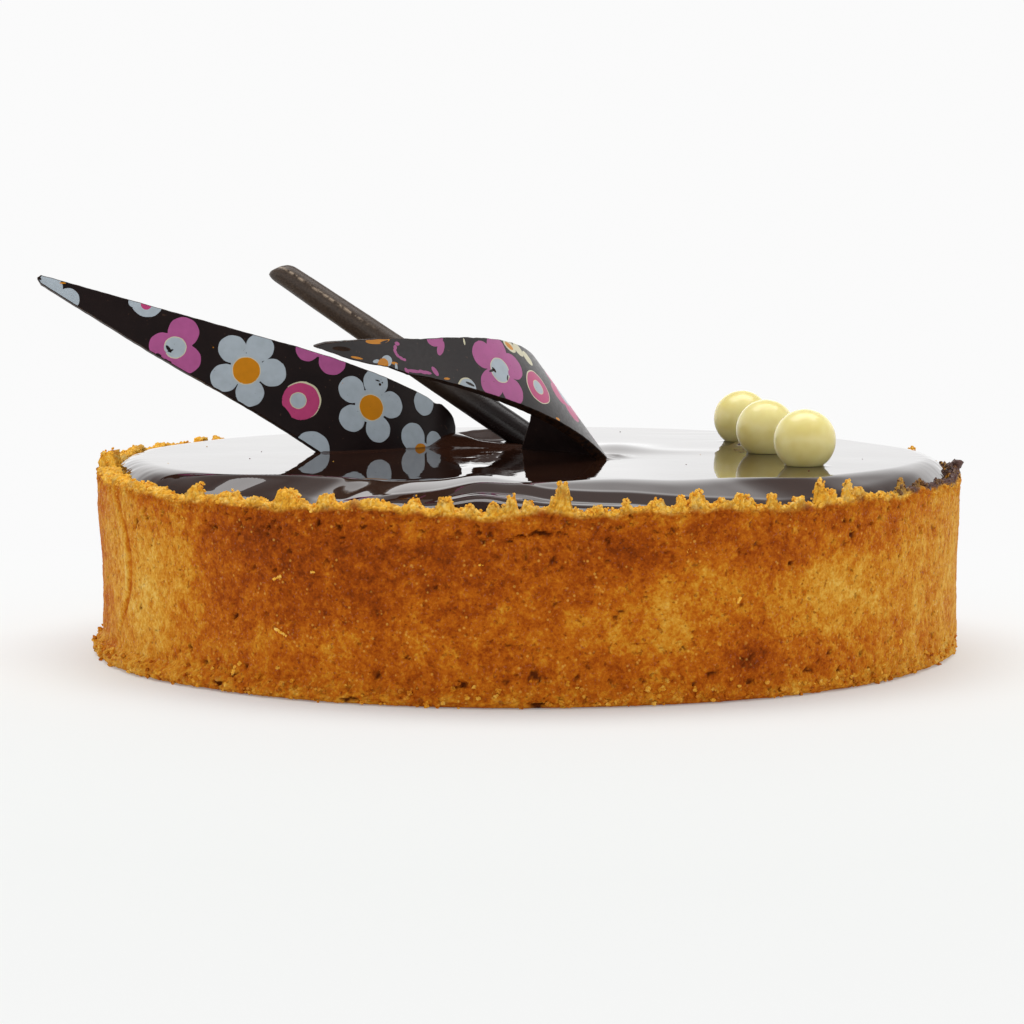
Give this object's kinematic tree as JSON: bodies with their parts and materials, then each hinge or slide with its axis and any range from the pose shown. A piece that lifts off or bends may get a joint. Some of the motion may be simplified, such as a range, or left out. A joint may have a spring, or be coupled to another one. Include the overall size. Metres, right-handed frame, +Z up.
{
  "type": "chocolate tart",
  "caption": "Small round tart: a straight-sided pastry case with a crumbly rim, glossy dark chocolate filling, printed chocolate plates, a rolled stick and ivory pearls.",
  "frame": {"origin": "centre of the flat underside of the pastry case", "axes": "+Z up; +X to the right across the tart, along the two chocolate plates; +Y to the back, with the pearls on the +X side"},
  "size_m": [0.0867, 0.0805, 0.035],
  "materials": {
    "baked_pastry": "rough golden-brown baked crumb",
    "dark_glaze": "mirror-smooth dark chocolate glaze",
    "printed_chocolate": "thin dark chocolate, satin, with a coloured print on one face",
    "rolled_chocolate": "rolled dark chocolate, satin to dull",
    "ivory_coating": "glossy ivory chocolate coating"
  },
  "bodies": {
    "root": {"pastry_case": "baked_pastry", "chocolate_filling": "dark_glaze", "long_plate": "printed_chocolate", "curled_plate": "printed_chocolate", "chocolate_stick": "rolled_chocolate", "pearl_front": "ivory_coating", "pearl_middle": "ivory_coating", "pearl_back": "ivory_coating"}
  },
  "joints": []
}
